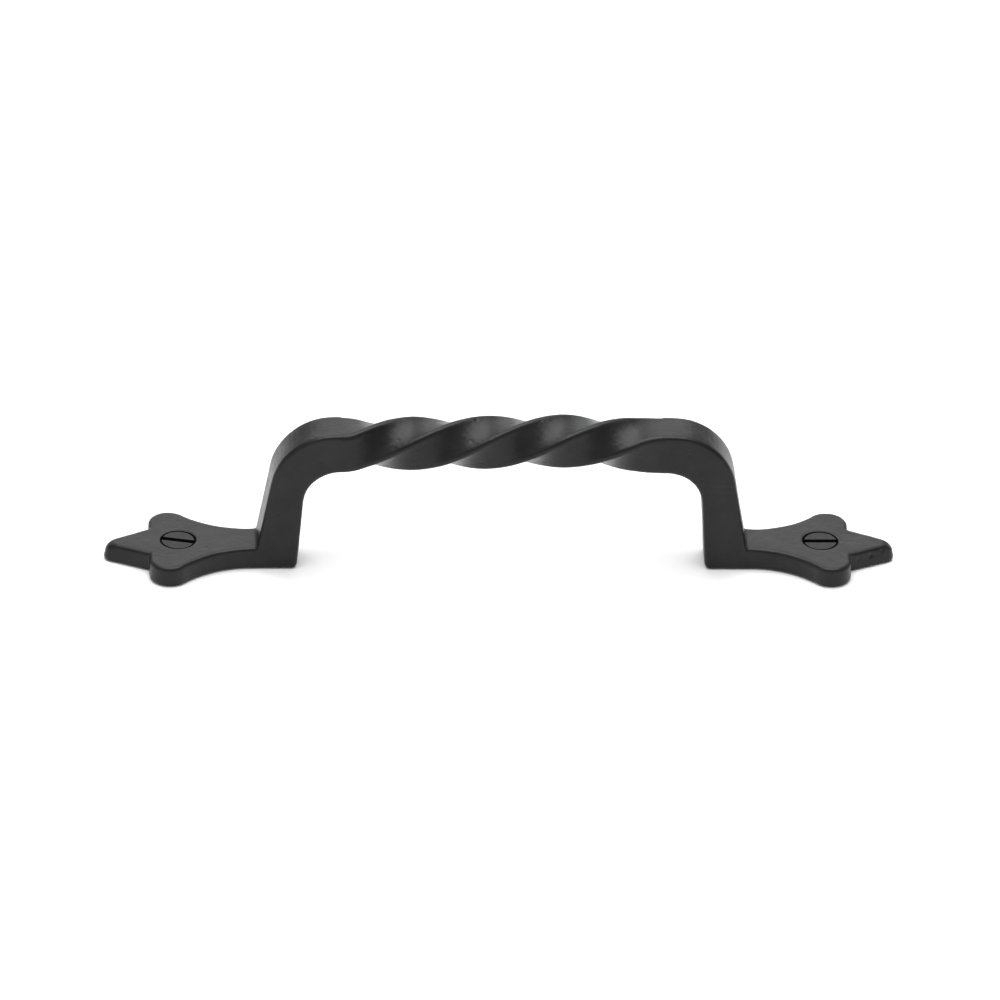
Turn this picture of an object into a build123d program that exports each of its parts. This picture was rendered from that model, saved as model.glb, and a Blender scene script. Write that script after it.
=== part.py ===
from build123d import *
import os
from math import asin, atan2, cos, degrees, hypot, pi, radians, sin, tan

# A rustic pull handle for a door, gate, shutter or chest: a square bar twisted through one full
# turn, bent down into two legs and flattened into two fleur-shaped feet, all one iron casting,
# with one slotted countersunk wood screw through each foot.
#
# X runs along the handle, Z points away from the door, and the back of the feet lies on Z = 0.
# The origin is midway between the two screws. Lengths are millimetres, angles degrees.

# ---- Casting: bar, bends and legs ----
screw_spacing = 150.0       # screw to screw, which sets the length of the handle
neck_length = 17.6          # from a screw in to the outer face of its leg
bar_side = 10.0             # square bar at the legs and bends, and the width of the feet at the neck
bar_edge_radius = 1.2       # rounding along the bar's four edges
grip_axis_height = 30.6     # middle of the bar above the door, where it leaves the bends
grip_crown = 0.95           # how much higher the bar stands at mid length
grip_skew = 0.3             # unevenness of the crown: fuller to the right, flatter to the left
leg_width = 9.5             # from the inner to the outer face of a leg, where it enters the foot
left_leg_inset = 0.6        # how much nearer the middle the left leg stands than the right
inner_lean = 3.8            # lean of the inner face towards the middle of the handle
outer_lean = 10.0           # lean of the outer face
inner_bend_radius = 8.5
outer_bend_radius = 15.0
heel_radius = 1.5           # rounding under the inner end of each leg

# ---- Casting: twisted grip ----
twist_turns = 1.0           # left-handed
twist_side = 9.55           # the bar is a little thinner where it is twisted
twist_edge_radius = 1.2     # rounding of its edges there
twist_build_up = 4.0        # length over which the twist builds up at the left end
twist_run_out = 6.0         # and over which it dies away at the right end
plain_length = 0.1          # untwisted length between a bend and the twist
twist_sections = 48         # cross sections that carry the twist

# ---- Casting: feet ----
tip_reach = 17.4            # from a screw out to the end of its foot
foot_neck_thickness = 5.5
foot_tip_thickness = 4.4
foot_draft = 0.2            # how far the lobes spread out towards the door
foot_top_radius = 0.8       # rounding of the outline's upper edge
foot_base_radius = 0.9      # rounding of the outline's lower edge
root_radius = 0.6           # fillet in the corner between foot and leg
lobe_ahead = 2.1            # centre of the two round lobes: past the screw, and to either side
lobe_y = 8.6
lobe_radius = 4.6
notch_half_width = 5.8      # half width of the spear point where it leaves the lobes
notch_radius = 0.5
tip_radius = 1.1            # of the spear point's end, on top
tip_draft = 1.0             # how far that end spreads out towards the door
tip_roll = 3.4              # radius over which the top rolls down at that end

# ---- Screws: No. 8 slotted countersunk wood screw, one inch long ----
head_diameter = 7.6
head_angle = 90.0
head_rim = 0.1              # straight rim above the cone
shank_diameter = 4.17
screw_length = 25.0         # from the top of the head to the point
plain_shank = 4.0           # straight shank between the door's face and the thread
core_diameter = 2.9
thread_pitch = 1.8
point_length = 5.0
slot_width = 1.4
slot_depth = 1.1
left_slot_angle = -13.0     # how far each slot happens to be turned
right_slot_angle = 0.0

# ---- Clearances ----
head_recess = 0.06          # top of the head below the foot's face
head_gap = 0.25             # radial gap between the head and its countersink
shank_gap = 0.2             # radial gap between the shank and its hole

# ---- Sizes that follow ----
screw_x = screw_spacing / 2
foot_tip_x = screw_x + tip_reach
lobe_x = screw_x + lobe_ahead
leg_outer_x = screw_x - neck_length
leg_inner_x = leg_outer_x - leg_width
sweep_start_x = leg_outer_x + 1.5 * root_radius
half_bar = bar_side / 2
grip_top = grip_axis_height + half_bar
grip_under = grip_axis_height - half_bar
inner_corner_x = leg_inner_x - grip_under * tan(radians(inner_lean))
outer_corner_x = leg_outer_x - (grip_top - foot_neck_thickness) * tan(radians(outer_lean))
inner_bend_end = inner_corner_x - inner_bend_radius * tan(radians(90 - inner_lean) / 2)
outer_bend_end = outer_corner_x - outer_bend_radius * tan(radians(90 - outer_lean) / 2)
twist_half = min(inner_bend_end, outer_bend_end) - left_leg_inset - plain_length


def foot_top(x):
    """Height of the foot's upper face: it falls evenly from the leg to the tip."""
    share = (x - leg_outer_x) / (foot_tip_x - leg_outer_x)
    return foot_neck_thickness + (foot_tip_thickness - foot_neck_thickness) * share


head_top = foot_top(screw_x) - head_recess
head_radius = head_diameter / 2
shank_radius = shank_diameter / 2
core_radius = core_diameter / 2
cone_slope = tan(radians(head_angle / 2))
cone_top = head_top - head_rim


# ---- Casting ----

def twisted_grip():
    """Square bar between the bends. The rate of twist rises evenly, holds, and falls evenly
    again, so the edges run smoothly out of the flat faces beside the bends."""
    length = 2 * twist_half
    rate = -360 * twist_turns / (length - (twist_build_up + twist_run_out) / 2)

    def turned(run):
        left = length - run
        if run < twist_build_up:
            return rate * run**2 / (2 * twist_build_up)
        if left < twist_run_out:
            return -360 * twist_turns - rate * left**2 / (2 * twist_run_out)
        return rate * (run - twist_build_up / 2)

    sections = []
    for step in range(twist_sections + 1):
        run = length * step / twist_sections
        x = run - twist_half
        fullness = (1 - (x / twist_half) ** 4) ** 2
        rise = grip_crown * fullness + grip_skew * fullness * sin(pi * x / twist_half)
        thinned = min(1, 4 * fullness)
        side = bar_side + (twist_side - bar_side) * thinned
        radius = bar_edge_radius + (twist_edge_radius - bar_edge_radius) * thinned
        angle = radians(turned(run))
        place = Plane(
            origin=(x, 0, grip_axis_height + rise),
            x_dir=(0, cos(angle), sin(angle)),
            z_dir=(1, 0, 0),
        )
        sections.append(place * RectangleRounded(side, side, radius))
    return loft(sections)


def leg(inset):
    """Right leg with its bend: the side outline, carried through the width of the bar."""
    outer_x = leg_outer_x - inset
    corners = [
        (leg_inner_x - inset, 0),
        (outer_x, 0),
        (outer_x, foot_top(outer_x)),
        (outer_corner_x - inset, grip_top),
        (twist_half, grip_top),
        (twist_half, grip_under),
        (inner_corner_x - inset, grip_under),
    ]
    with BuildPart() as body:
        with BuildSketch(Plane.XZ) as side:
            with BuildLine():
                Polyline(corners, close=True)
            make_face()
            outer_corner = side.vertices().sort_by_distance((outer_corner_x - inset, grip_top))[0]
            fillet(outer_corner, outer_bend_radius)
            inner_corner = side.vertices().sort_by_distance((inner_corner_x - inset, grip_under))[0]
            fillet(inner_corner, inner_bend_radius)
        extrude(amount=half_bar, both=True)
    return body.part


def foot_outline(height, share, inset):
    """Plan of the right foot at one height, let out by a share of the draft, 1 at the door. A
    hollow curve leaves the neck beyond the leg's root and runs into the round lobe."""
    inside_x = (leg_inner_x + leg_outer_x) / 2 - inset
    start_x = sweep_start_x - inset
    run = lobe_x - start_x
    rise = lobe_y - half_bar
    radius = lobe_radius + foot_draft * share
    sweep_radius = (run**2 + rise**2 - radius**2) / (2 * (rise + radius))
    sweep_y = half_bar + sweep_radius
    to_lobe = degrees(atan2(lobe_y - sweep_y, run))
    shoulder_x = lobe_x + radius
    notch_y = notch_half_width + foot_draft * share
    end_radius = tip_radius + tip_draft * share
    tip_x = foot_tip_x - tip_draft * (1 - share)
    reach_x = tip_x - end_radius - shoulder_x
    tip_angle = 90 - degrees(atan2(notch_y, reach_x) - asin(end_radius / hypot(reach_x, notch_y)))

    with BuildSketch(Plane.XY.offset(height)) as plan:
        with BuildLine() as outline:
            sweep = CenterArc((start_x, sweep_y), sweep_radius, 270, 90 + to_lobe)
            Line((inside_x, 0), (inside_x, half_bar))
            Line((inside_x, half_bar), sweep @ 0)
            lobe = CenterArc((lobe_x, lobe_y), radius, 180 + to_lobe, -180 - to_lobe)
            shoulder = Line(lobe @ 1, (shoulder_x, notch_y))
            tip = CenterArc((tip_x - end_radius, 0), end_radius, tip_angle, -tip_angle)
            Line(shoulder @ 1, tip @ 0)
            mirror(outline.line, about=Plane.XZ)
        make_face()
        for side in (1, -1):
            notch = plan.vertices().sort_by_distance((shoulder_x, side * notch_y))[0]
            fillet(notch, notch_radius)
    return plan.sketch


def foot(inset):
    """Right foot: straight-sided from its plan at the door up to a smaller plan, then cut to the
    thickness that tapers towards the tip and rolls down at its end."""
    inside_x = (leg_inner_x + leg_outer_x) / 2 - inset
    top = foot_top(inside_x)
    body = loft([foot_outline(0, 1, inset), foot_outline(top, 0, inset)], ruled=True)
    with BuildPart() as slab:
        with BuildSketch(Plane.XZ) as side:
            with BuildLine():
                Polyline(
                    (inside_x, 0),
                    (foot_tip_x, 0),
                    (foot_tip_x, foot_tip_thickness),
                    (inside_x, top),
                    close=True,
                )
            make_face()
            end = side.vertices().sort_by_distance((foot_tip_x, foot_tip_thickness))[0]
            fillet(end, tip_roll)
        extrude(amount=lobe_y + 2 * lobe_radius, both=True)
    return body & slab.part


def screw_hole():
    """Clearance hole with its countersink, as the solid that is cut away."""
    hole_radius = shank_radius + shank_gap
    mouth_radius = head_radius + head_gap
    rise = foot_neck_thickness
    with BuildPart() as body:
        with BuildSketch(Plane.XZ):
            with BuildLine():
                Polyline(
                    (0, -rise),
                    (hole_radius, -rise),
                    (hole_radius, cone_top - (mouth_radius - hole_radius) / cone_slope),
                    (mouth_radius + rise * cone_slope, cone_top + rise),
                    (0, cone_top + rise),
                    close=True,
                )
            make_face()
        revolve(axis=Axis.Z)
    return Pos(screw_x, 0, 0) * body.part


def casting_end(inset):
    """Right end of the casting: leg, bend and foot in one, with every edge rounded."""
    inner_x = leg_inner_x - inset
    outer_x = leg_outer_x - inset
    body = leg(inset) + foot(inset)
    root = body.edges().filter_by(Axis.Y).sort_by_distance((outer_x, 0, foot_top(outer_x)))[0]
    body = fillet(root, root_radius)

    def leg_edges(x, z):
        near = body.edges().sort_by(lambda edge: edge.distance_to(Vector(x, half_bar, z)))
        far = body.edges().sort_by(lambda edge: edge.distance_to(Vector(x, -half_bar, z)))
        return [near[0], far[0]]

    middle = grip_under / 2
    inner = leg_edges(inner_x - middle * tan(radians(inner_lean)), middle)
    body = fillet(inner, bar_edge_radius)
    outer = leg_edges(outer_x - (middle - foot_neck_thickness) * tan(radians(outer_lean)), middle)
    body = fillet(outer, foot_top_radius)
    base = body.faces().sort_by(Axis.Z)[0]
    body = fillet(base.edges(), foot_base_radius)
    return body


def heel_cutter(inset):
    """What is cut away to round the leg's inner bottom edge: a square less a quarter round."""
    size = heel_radius
    inner_x = leg_inner_x - inset
    corner = Pos(inner_x + size / 2, 0, size / 2) * Box(size, 2 * bar_side, size)
    round_part = Pos(inner_x + size, 0, size) * Rot(90, 0, 0) * Cylinder(size, 3 * bar_side)
    outside = Pos(inner_x, 0, 0) * Box(size, 2 * bar_side, size)
    return corner + outside - round_part


def handle_casting():
    right = casting_end(0) - heel_cutter(0) - screw_hole()
    left = casting_end(left_leg_inset) - heel_cutter(left_leg_inset) - screw_hole()
    return right + twisted_grip() + mirror(left, about=Plane.YZ)


# ---- Screws ----

def screw_blank():
    """Head, cone, neck, plain shank and tapered core, turned about the screw's axis. The neck in
    the foot's hole tapers by a hair, so that the plain shank starts at the door's face."""
    tip = head_top - screw_length
    neck_radius = shank_radius + shank_gap / 4
    with BuildPart() as body:
        with BuildSketch(Plane.XZ):
            with BuildLine():
                Polyline(
                    (0, head_top),
                    (head_radius, head_top),
                    (head_radius, cone_top),
                    (neck_radius, cone_top - (head_radius - neck_radius) / cone_slope),
                    (shank_radius, 0),
                    (shank_radius, -plain_shank),
                    (core_radius, -plain_shank - (shank_radius - core_radius)),
                    (core_radius, tip + point_length),
                    (0, tip),
                    close=True,
                )
            make_face()
        revolve(axis=Axis.Z)
    rim = body.part.edges().filter_by(GeomType.CIRCLE).group_by(Axis.Z)[-1]
    return fillet(rim, head_rim / 2)


def screw_thread():
    """One right-hand ridge wound round the core, wound taller and longer than it should be and
    then trimmed, so that its crest is a narrow flat as wide as the shank."""
    low = head_top - screw_length + point_length
    high = shank_radius - core_radius
    length = -plain_shank - low
    buried = core_radius / 4
    path = Helix(pitch=thread_pitch, height=length + thread_pitch, radius=core_radius - buried)
    with BuildSketch(Plane(origin=path @ 0, x_dir=(1, 0, 0), z_dir=(0, -1, 0))) as ridge:
        half = thread_pitch / 3
        Polygon((0, -half), (buried + 1.4 * high, 0), (0, half), align=None)
    wound = Pos(0, 0, low - thread_pitch / 2) * sweep(ridge.sketch, path=path, is_frenet=True)
    return wound & (Pos(0, 0, low + length / 2) * Cylinder(shank_radius, length - high))


def wood_screw(slot_angle):
    """A whole screw on the Z axis, its slot turned by the angle given."""
    slot = Pos(0, 0, head_top) * Rot(0, 0, slot_angle) * Box(2 * head_diameter, slot_width, 2 * slot_depth)
    return screw_blank() + screw_thread() - slot


# ---- Sub-parts ----

subparts = {
    "handle_casting": handle_casting(),
    "left_screw": Pos(-screw_x, 0, 0) * wood_screw(left_slot_angle),
    "right_screw": Pos(screw_x, 0, 0) * wood_screw(right_slot_angle),
}

os.makedirs("parts", exist_ok=True)
for node, shape in subparts.items():
    shape.label = node
    export_step(shape, f"parts/{node}.step")
    print(f"{node}: {len(shape.solids())} solid, {shape.volume:.1f} cubic millimetres")
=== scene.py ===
import math

import bpy
import numpy as np
from mathutils import Matrix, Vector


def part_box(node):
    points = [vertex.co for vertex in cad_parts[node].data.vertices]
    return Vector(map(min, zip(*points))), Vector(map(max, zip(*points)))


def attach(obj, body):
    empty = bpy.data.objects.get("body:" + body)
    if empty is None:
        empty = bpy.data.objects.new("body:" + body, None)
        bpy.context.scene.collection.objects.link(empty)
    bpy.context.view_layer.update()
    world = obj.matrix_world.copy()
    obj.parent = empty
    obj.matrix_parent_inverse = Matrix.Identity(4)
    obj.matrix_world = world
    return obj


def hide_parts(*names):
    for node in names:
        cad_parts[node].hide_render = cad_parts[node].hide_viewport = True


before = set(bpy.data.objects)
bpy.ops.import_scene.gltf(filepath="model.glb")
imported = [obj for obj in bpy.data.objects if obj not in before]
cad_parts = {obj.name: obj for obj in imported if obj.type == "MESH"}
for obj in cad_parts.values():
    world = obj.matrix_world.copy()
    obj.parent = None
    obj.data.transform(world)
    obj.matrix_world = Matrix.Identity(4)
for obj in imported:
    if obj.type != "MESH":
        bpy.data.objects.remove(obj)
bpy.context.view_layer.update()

# Black iron pull handle with a twisted grip, screwed down through two fleur-shaped feet.
# X runs along the handle, Z away from the door, and the handle is seen from -Y. Metres.


def say(text):
    print("pull handle:", text, flush=True)


def addObject(name, data):
    thing = bpy.data.objects.new(name, data)
    bpy.context.scene.collection.objects.link(thing)
    return thing


def meshFromArrays(name, points, faces):
    mesh = bpy.data.meshes.new(name)
    mesh.from_pydata(points.tolist(), [], [list(map(int, face)) for face in faces])
    mesh.validate()
    return mesh


def vertexArray(mesh, field="co"):
    values = np.empty(len(mesh.vertices) * 3, np.float32)
    mesh.vertices.foreach_get(field, values)
    return values.reshape(-1, 3).astype(float)


def bakeModifiers(thing):
    # Gives the object a mesh of the shape that its modifiers make, and takes them off
    graph = bpy.context.evaluated_depsgraph_get()
    mesh = bpy.data.meshes.new_from_object(thing.evaluated_get(graph))
    thing.modifiers.clear()
    thing.data = mesh


class Finish:
    # One material, with a short way to add and join its nodes
    def __init__(self, name):
        self.material = bpy.data.materials.new(name)
        self.material.use_nodes = True
        self.tree = self.material.node_tree
        self.shader = self.tree.nodes["Principled BSDF"]
        self.place = self.add("ShaderNodeTexCoord").outputs["Object"]

    def add(self, kind, **inputs):
        node = self.tree.nodes.new(kind)
        for name, value in inputs.items():
            node.inputs[name].default_value = value
        return node

    def join(self, output, socket):
        self.tree.links.new(output, socket)

    def toShader(self, output, name):
        self.join(output, self.shader.inputs[name])

    def noise(self, scale, detail, roughness):
        node = self.add("ShaderNodeTexNoise", Scale=scale, Detail=detail, Roughness=roughness)
        self.join(self.place, node.inputs["Vector"])
        return node.outputs["Fac"]

    def ramp(self, value, *stops):
        node = self.add("ShaderNodeValToRGB")
        for element, (position, colour) in zip(node.color_ramp.elements, stops):
            element.position = position
            element.color = (*colour, 1)
        self.join(value, node.inputs["Fac"])
        return node.outputs["Color"]

    def spread(self, value, low, high):
        node = self.add("ShaderNodeMapRange", **{"To Min": low, "To Max": high})
        self.join(value, node.inputs["Value"])
        return node.outputs["Result"]

    def bump(self, value, height, strength, under=None):
        node = self.add("ShaderNodeBump", Distance=height, Strength=strength)
        self.join(value, node.inputs["Height"])
        if under is not None:
            self.join(under, node.inputs["Normal"])
        return node.outputs["Normal"]


def blackFinish(name, values):
    # Mottled black, its roughness in patches, with a fine grain over a softer skin if it has one
    finish = Finish(name)
    finish.shader.inputs["IOR"].default_value = values["indexOfRefraction"]
    finish.toShader(finish.ramp(finish.noise(*values["mottle"]), *values["colours"]), "Base Color")
    finish.toShader(finish.spread(finish.noise(*values["patches"]), *values["roughness"]), "Roughness")
    skin = None
    if "skin" in values:
        skin = finish.bump(finish.noise(*values["skin"]), *values["skinBump"])
    grain = finish.bump(finish.noise(*values["grain"]), *values["grainBump"], under=skin)
    finish.toShader(grain, "Normal")
    return finish.material


camera = {
    "azimuth": -3.27,       # degrees about Z, 0 looks along +Y
    "elevation": 30.53,
    "roll": 1.75,
    "distance": 4.0,
    "lens": 618.2,          # mm
    "sensor": 36,
    "farthest": 20,
    "aim": (-0.00016, 0.0, 0.01585),
}


def addCamera(values):
    # The camera stands at the given azimuth and elevation from its aim and is rolled about its view
    azimuth, elevation = math.radians(values["azimuth"]), math.radians(values["elevation"])
    level = math.cos(elevation)
    back = np.array([math.sin(azimuth) * level, -math.cos(azimuth) * level, math.sin(elevation)])
    data = bpy.data.cameras.new("camera")
    data.lens = values["lens"]
    data.sensor_width = values["sensor"]
    data.clip_end = values["farthest"]
    thing = addObject("camera", data)
    thing.location = np.array(values["aim"]) + back * values["distance"]
    thing.rotation_mode = "XYZ"
    thing.rotation_euler = (math.pi / 2 - elevation, 0, azimuth)
    bpy.context.view_layer.update()
    rolled = thing.matrix_world.to_3x3() @ Matrix.Rotation(math.radians(values["roll"]), 3, "Z")
    thing.rotation_euler = rolled.to_euler("XYZ")
    bpy.context.scene.camera = thing


studio = {
    "floorSize": 3.0,
    "floorHeight": -0.00005,    # a hair under the feet, so that the two faces never coincide
    "floorColour": (0.95, 0.95, 0.95),
    "floorRoughness": 0.9,
    "floorSpecular": 0.1,
    "skyColour": (1.0, 1.0, 1.0),
    "skyStrength": 0.5,
    "softboxes": {              # power in W, size, place
        "topLight": (30.0, 1.4, (0.0, 0.15, 1.5)),
        "backLight": (8.0, 1.4, (0.0, 1.7, 1.0)),
        "fillLight": (1.5, 0.8, (-1.2, -1.0, 1.0)),
    },
    "toneCurve": "Standard",
}


def addFloor(values):
    half, height = values["floorSize"] / 2, values["floorHeight"]
    corners = np.array([[x * half, y * half, height] for x, y in ((-1, -1), (1, -1), (1, 1), (-1, 1))])
    floor = addObject("floor", meshFromArrays("floor", corners, [[0, 1, 2, 3]]))
    paleFloor = Finish("paleFloor")
    paleFloor.shader.inputs["Base Color"].default_value = (*values["floorColour"], 1)
    paleFloor.shader.inputs["Roughness"].default_value = values["floorRoughness"]
    paleFloor.shader.inputs["Specular IOR Level"].default_value = values["floorSpecular"]
    floor.data.materials.append(paleFloor.material)


def addSoftbox(name, power, size, place):
    # A square lamp at its place, turned to face the origin
    data = bpy.data.lights.new(name, "AREA")
    data.energy = power
    data.size = size
    thing = addObject(name, data)
    thing.location = place
    x, y, z = -np.array(place) / np.linalg.norm(place)
    thing.rotation_euler = (math.acos(-z), 0, math.atan2(-x, y))


def addStudio(values):
    addFloor(values)
    world = bpy.data.worlds.new("studioWorld")
    world.use_nodes = True
    sky = world.node_tree.nodes["Background"]
    sky.inputs["Color"].default_value = (*values["skyColour"], 1)
    sky.inputs["Strength"].default_value = values["skyStrength"]
    bpy.context.scene.world = world
    bpy.context.scene.view_settings.view_transform = values["toneCurve"]
    for name, (power, size, place) in values["softboxes"].items():
        addSoftbox(name, power, size, place)


casting = {
    "node": "handle_casting",
    "weld": 0.000001,
    "voxel": 0.00032,           # grid that re-skins the casting
    "easeFactor": 0.5,
    "easeSteps": 3,
    "sharpAngle": 50,           # degrees, beyond which an edge is shaded sharp
    "seed": 11,
    # each layer of unevenness left by the sand mould: size of its features, and its depth
    "layers": ((0.0140, 0.00010), (0.0052, 0.000050), (0.0022, 0.000018)),
    # the finest layer, deeper on the feet and deepest on the right one
    "grainSeed": 20,
    "grainSize": 0.0010,
    "grainDepth": 0.000007,
    "footGrain": 1.4,
    "rightGrain": 0.25,
    "footStart": 0.056,         # distance from mid length at which the feet begin
    "footBlend": 0.004,         # length over which the grain deepens there
    "pitCount": 110,
    "pitRadius": (0.00025, 0.0007),
    "pitDepth": 0.00010,
    # larger pits: where they are, radius, depth
    "blemishes": (
        ((0.0865, -0.0030, 0.0030), 0.0009, 0.00030),
        ((0.0890, -0.0012, 0.0035), 0.0007, 0.00022),
        ((0.0838, -0.0052, 0.0028), 0.0008, 0.00025),
        ((0.0435, -0.0050, 0.0310), 0.0006, 0.00020),
        ((0.0462, -0.0050, 0.0265), 0.0005, 0.00018),
        ((-0.0415, -0.0050, 0.0330), 0.0006, 0.00018),
        ((-0.0520, -0.0050, 0.0150), 0.0007, 0.00018),
        ((0.0040, 0.0005, 0.0370), 0.0005, 0.00018),
    ),
    # shallow creases across the front of the upper right leg: height, half width, depth
    "creases": ((0.0205, 0.0003, 0.00007), (0.0221, 0.0003, 0.00006), (0.0237, 0.0003, 0.00005)),
    "creaseFrom": 0.040,        # X beyond which they lie
    "creaseWander": (0.0006, 0.004),    # how far a crease strays, and over what length
    "flatBelow": 0.0006,        # height over which it all comes in, so that the back stays flat
    # the mouth cut round each screw
    "headGap": 0.00047,         # radial gap to the head's rim
    "mouthDepth": 0.0006,       # upright wall of the mouth, below which the cone starts
    "shankHole": 0.002285,      # radius
    "cutterReach": 0.003,       # how far the cutter stands above the head
    "cutterBottom": -0.002,     # height of its lower end, under the foot
    "cutterCorners": 128,
    # a noise is its scale, detail and roughness, a bump its height and strength
    "finish": {
        "indexOfRefraction": 1.34,
        "mottle": (160.0, 3.0, 0.55),
        "colours": ((0.3, (0.0035, 0.0035, 0.0042)), (0.72, (0.009, 0.009, 0.0102))),
        "patches": (420.0, 4.0, 0.6),
        "roughness": (0.26, 0.44),
        "skin": (1000.0, 2.0, 0.5),
        "skinBump": (0.00005, 0.6),
        "grain": (2300.0, 3.0, 0.65),
        "grainBump": (0.00004, 0.8),
    },
}


def reskinned(values):
    # A copy of the CAD casting, its triangles joined, laid over with even quads a third of a
    # millimetre wide, drawn back onto the true surface and eased a little, which leaves every
    # edge and inner corner softly cast without shrinking the feet.
    thing = addObject("castHandle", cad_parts[values["node"]].data.copy())
    weld = thing.modifiers.new("weld", "WELD")
    weld.merge_threshold = values["weld"]
    bakeModifiers(thing)
    target = addObject("trueSurface", thing.data.copy())
    skin = thing.modifiers.new("skin", "REMESH")
    skin.mode = "VOXEL"
    skin.voxel_size = values["voxel"]
    fit = thing.modifiers.new("fit", "SHRINKWRAP")
    fit.target = target
    fit.wrap_method = "NEAREST_SURFACEPOINT"
    ease = thing.modifiers.new("ease", "SMOOTH")
    ease.factor = values["easeFactor"]
    ease.iterations = values["easeSteps"]
    bakeModifiers(thing)
    bpy.data.objects.remove(target)
    return thing


lattice = {"cells": 64, "shift": 17.3}


def lumps(points, size, seed):
    # Value noise, -1 to 1: random heights on a cubic lattice of the given size, blended between
    # the eight corners round each point with the smooth step 3t^2 - 2t^3.
    cells = lattice["cells"]
    heights = np.random.default_rng(seed).uniform(-1, 1, (cells, cells, cells))
    scaled = points / size + lattice["shift"]
    cell = np.floor(scaled).astype(int)
    t = scaled - cell
    t = t * t * (3 - 2 * t)
    total = np.zeros(len(points))
    for corner in np.ndindex(2, 2, 2):
        share = np.prod(np.where(corner, t, 1 - t), axis=1)
        i, j, k = ((cell + corner) % cells).T
        total += share * heights[i, j, k]
    return total


def dip(points, centre, radius, depth):
    # A round-bottomed pit: depth times (1 - (distance / radius)^2)^2
    apart = np.linalg.norm(points - centre, axis=1) / radius
    return depth * np.clip(1 - apart**2, 0, 1) ** 2


def mouldLayers(points, values):
    # The sum of the unevenness layers and the grain, each its depth times its lumps
    total = np.zeros(len(points))
    for layer, (size, depth) in enumerate(values["layers"]):
        total += depth * lumps(points, size, values["seed"] + layer)
    x = points[:, 0]
    onFoot = np.clip((np.abs(x) - values["footStart"]) / values["footBlend"], 0, 1)
    coarse = 1 + values["footGrain"] * onFoot * (1 + values["rightGrain"] * np.sign(x))
    grain = lumps(points, values["grainSize"], values["grainSeed"])
    return total + values["grainDepth"] * coarse * grain


def pits(points, values):
    # Small pits at points drawn at random, and the larger ones at the points nearest to them
    total = np.zeros(len(points))
    draw = np.random.default_rng(values["seed"])
    for index in draw.integers(0, len(points), values["pitCount"]):
        total += dip(points, points[index], draw.uniform(*values["pitRadius"]), values["pitDepth"])
    for place, radius, depth in values["blemishes"]:
        nearest = np.argmin(np.linalg.norm(points - place, axis=1))
        total += dip(points, points[nearest], radius, depth)
    return total


def creases(points, normals, values):
    # Each crease is a bell-shaped groove, depth times e^-(distance / half width)^2, on faces that
    # look to the front, and its height wanders along X.
    onFront = np.clip(-normals[:, 1], 0, 1) * (points[:, 0] > values["creaseFrom"])
    stray, over = values["creaseWander"]
    level = points[:, 2] + stray * lumps(points * (1, 0, 0), over, values["seed"])
    total = np.zeros(len(points))
    for height, halfWidth, depth in values["creases"]:
        total += depth * onFront * np.exp(-(((level - height) / halfWidth) ** 2))
    return total


def uneven(thing, values):
    # Moves each point along its normal by the mould's layers, less the pits and creases there
    points = vertexArray(thing.data)
    normals = vertexArray(thing.data, "normal")
    offset = mouldLayers(points, values) - pits(points, values) - creases(points, normals, values)
    offset *= np.clip(points[:, 2] / values["flatBelow"], 0, 1)
    points += normals * offset[:, None]
    thing.data.vertices.foreach_set("co", points.astype(np.float32).ravel())
    thing.data.update()


def turnedSolid(name, radii, heights, centre, corners):
    # A profile (radius, height) carried round a vertical axis: x = r cos t, y = r sin t, z = h.
    # The profile starts and ends on the axis, where it closes in a pole.
    turn = np.arange(corners) * 2 * np.pi / corners
    ringR = np.asarray(radii)[1:-1, None]
    ringZ = np.asarray(heights)[1:-1, None] + 0 * turn
    ring = np.stack([ringR * np.cos(turn), ringR * np.sin(turn), ringZ], -1).reshape(-1, 3)
    poles = np.array([[0, 0, heights[0]], [0, 0, heights[-1]]])
    points = np.concatenate([ring, poles]) + np.asarray(centre)
    rows = len(radii) - 2
    i = np.arange(corners)
    j = (i + 1) % corners
    lower = np.arange(rows - 1)[:, None] * corners
    upper = lower + corners
    quads = np.stack([lower + i, lower + j, upper + j, upper + i], -1).reshape(-1, 4)
    bottomPole = rows * corners
    topRow = (rows - 1) * corners
    bottom = np.stack([np.full(corners, bottomPole), j, i], -1)
    top = np.stack([np.full(corners, bottomPole + 1), topRow + i, topRow + j], -1)
    return meshFromArrays(name, points, [*quads, *bottom, *top])


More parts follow.
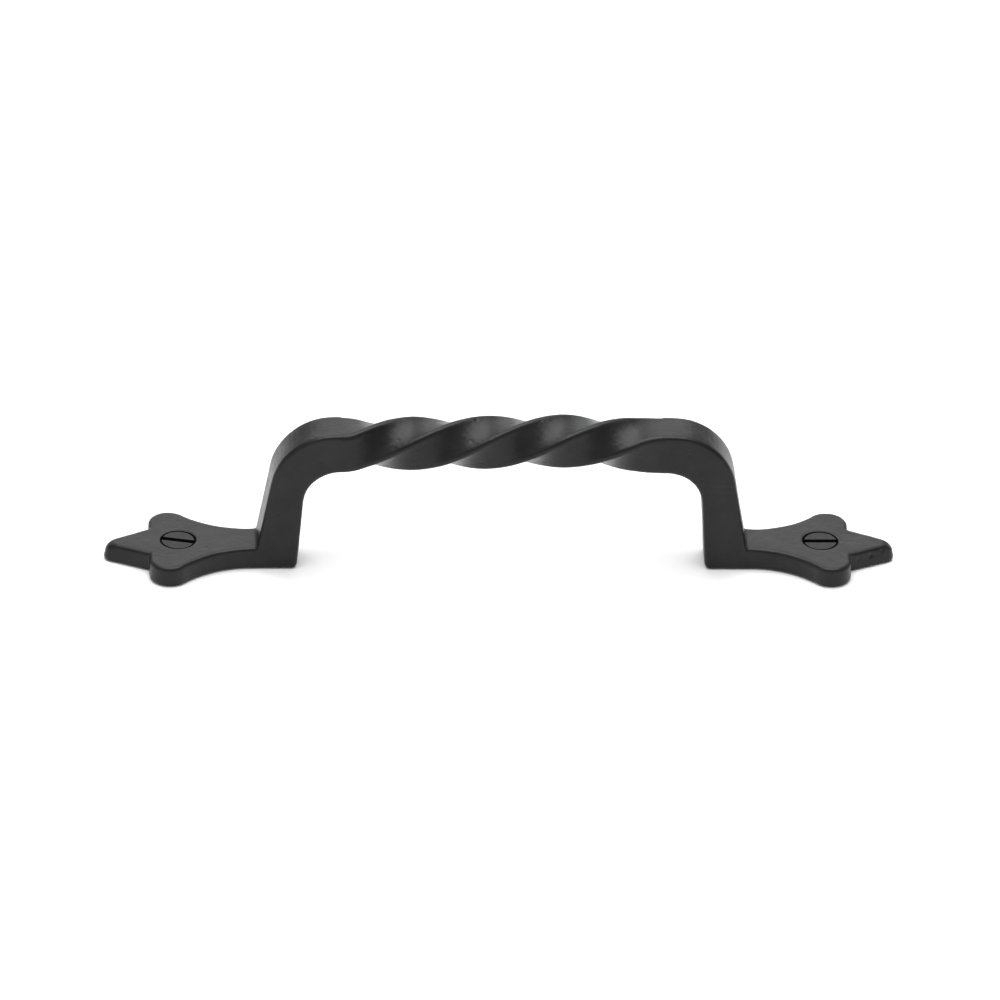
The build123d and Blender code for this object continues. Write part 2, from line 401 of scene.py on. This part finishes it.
def cutScrewMouths(thing, nodes, values):
    # Cuts each screw's hole with one turned solid: shank hole, cone, and the mouth round the head
    cutters = []
    for screw in nodes:
        low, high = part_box(screw)
        centre = ((low.x + high.x) / 2, (low.y + high.y) / 2, 0)
        mouth = (high.y - low.y) / 2 + values["headGap"]
        hole = values["shankHole"]
        coneTop = high.z - values["mouthDepth"]
        bottom, top = values["cutterBottom"], high.z + values["cutterReach"]
        radii = [0, hole, hole, mouth, mouth, 0]
        heights = [bottom, bottom, coneTop - (mouth - hole), coneTop, top, top]
        mesh = turnedSolid("cutter", radii, heights, centre, values["cutterCorners"])
        cutters.append(addObject("cutter", mesh))
        cut = thing.modifiers.new("cut", "BOOLEAN")
        cut.operation = "DIFFERENCE"
        cut.solver = "EXACT"
        cut.object = cutters[-1]
    bakeModifiers(thing)
    for cutter in cutters:
        bpy.data.objects.remove(cutter)


screws = {
    "nodes": ("left_screw", "right_screw"),
    "finish": {
        "indexOfRefraction": 1.3,
        "mottle": (700.0, 3.0, 0.6),
        "colours": ((0.3, (0.004, 0.004, 0.004)), (0.75, (0.012, 0.0117, 0.0113))),
        "patches": (1500.0, 3.0, 0.6),
        "roughness": (0.30, 0.48),
        "grain": (3000.0, 2.0, 0.6),
        "grainBump": (0.00002, 0.5),
    },
}

addCamera(camera)
addStudio(studio)
say("studio and camera set")

handle = reskinned(casting)
say(f"casting re-skinned, {len(handle.data.polygons)} faces")
uneven(handle, casting)
say("mould's unevenness added")
cutScrewMouths(handle, screws["nodes"], casting)
handle.data.shade_smooth()
handle.data.set_sharp_from_angle(angle=math.radians(casting["sharpAngle"]))
handle.data.materials.clear()
handle.data.materials.append(blackFinish("blackIron", casting["finish"]))
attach(handle, "handle")
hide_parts(casting["node"])
say("casting finished")

blackScrew = blackFinish("blackScrew", screws["finish"])
for node in screws["nodes"]:
    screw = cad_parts[node]
    screw.data.materials.clear()
    screw.data.materials.append(blackScrew)
say("screws finished")

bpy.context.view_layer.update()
say("sizes written")
